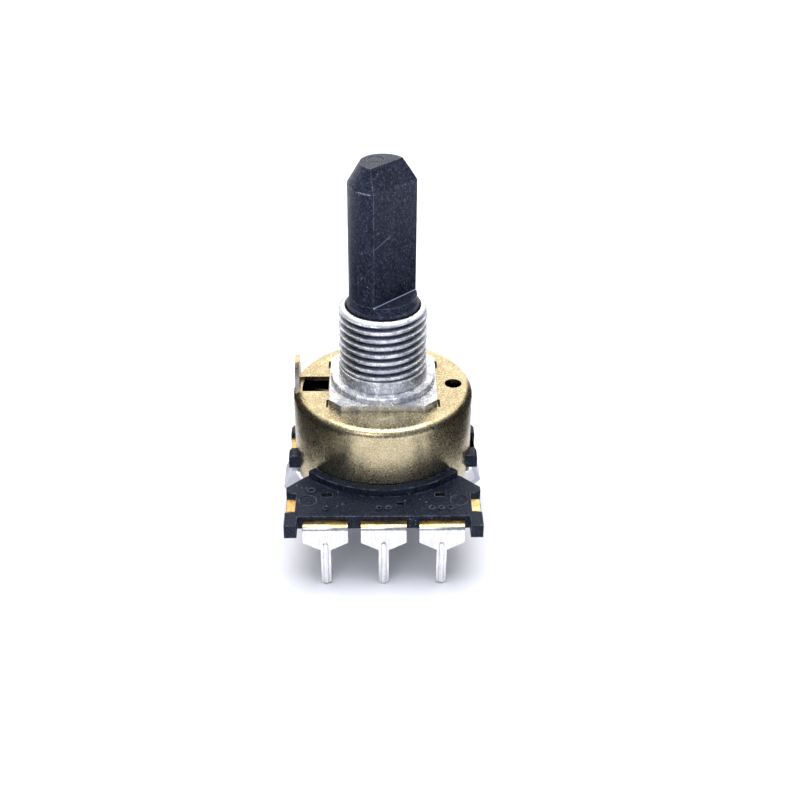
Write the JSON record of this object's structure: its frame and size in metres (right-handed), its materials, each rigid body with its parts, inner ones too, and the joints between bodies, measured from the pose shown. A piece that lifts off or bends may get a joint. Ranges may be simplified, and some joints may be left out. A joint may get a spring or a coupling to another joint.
{
  "type": "rotary encoder",
  "caption": "Incremental rotary encoder with a flatted plastic shaft, threaded bushing, round sheet-metal cup, pinned terminal wafer and snap-in lugs.",
  "frame": {"origin": "on the shaft axis, at the bushing shoulder that seats against the panel", "axes": "+Z along the shaft towards its tip, -Y towards the row of terminals, +X to the right seen from the terminals with the shaft up"},
  "size_m": [0.0186, 0.0216, 0.034],
  "materials": {
    "black_moulding": "matt moulded, fine speckle",
    "shaft_moulding": "matt moulded with light scuffs",
    "zinc_casting": "die-cast zinc, frosted with bright crests",
    "yellow_passivated_sheet": "yellow-passivated sheet, fine grain, satin",
    "tinned_sheet": "tin plated, bright satin",
    "gold_stub": "bare lead-frame alloy with a warm cut edge",
    "plate_steel": "mottled grey rolled steel",
    "spring_bronze": "phosphor bronze, bright",
    "spring_steel": "blackened spring steel, oiled",
    "rotor_moulding": "black acetal, smooth"
  },
  "bodies": {
    "housing": {"bushing": "zinc_casting", "housing": "yellow_passivated_sheet", "base": "black_moulding", "terminal_a": "tinned_sheet", "terminal_b": "tinned_sheet", "terminal_common": "tinned_sheet", "end_stub_left": "gold_stub", "end_stub_right": "gold_stub", "side_stub_left": "gold_stub", "side_stub_right": "gold_stub", "rear_plate": "plate_steel", "thrust_washer": "spring_steel", "detent_spring": "spring_steel", "contact_a": "spring_bronze", "contact_b": "spring_bronze", "contact_common": "spring_bronze"},
    "rotor": {"shaft": "shaft_moulding", "rotor": "rotor_moulding", "detent_ring": "spring_steel", "code_disc": "spring_bronze"}
  },
  "joints": [
    {"name": "shaft_turn", "type": "hinge", "parent": "housing", "child": "rotor", "pos_m": [0, 0, 0], "axis": [0, 0, 1], "continuous": true}
  ]
}
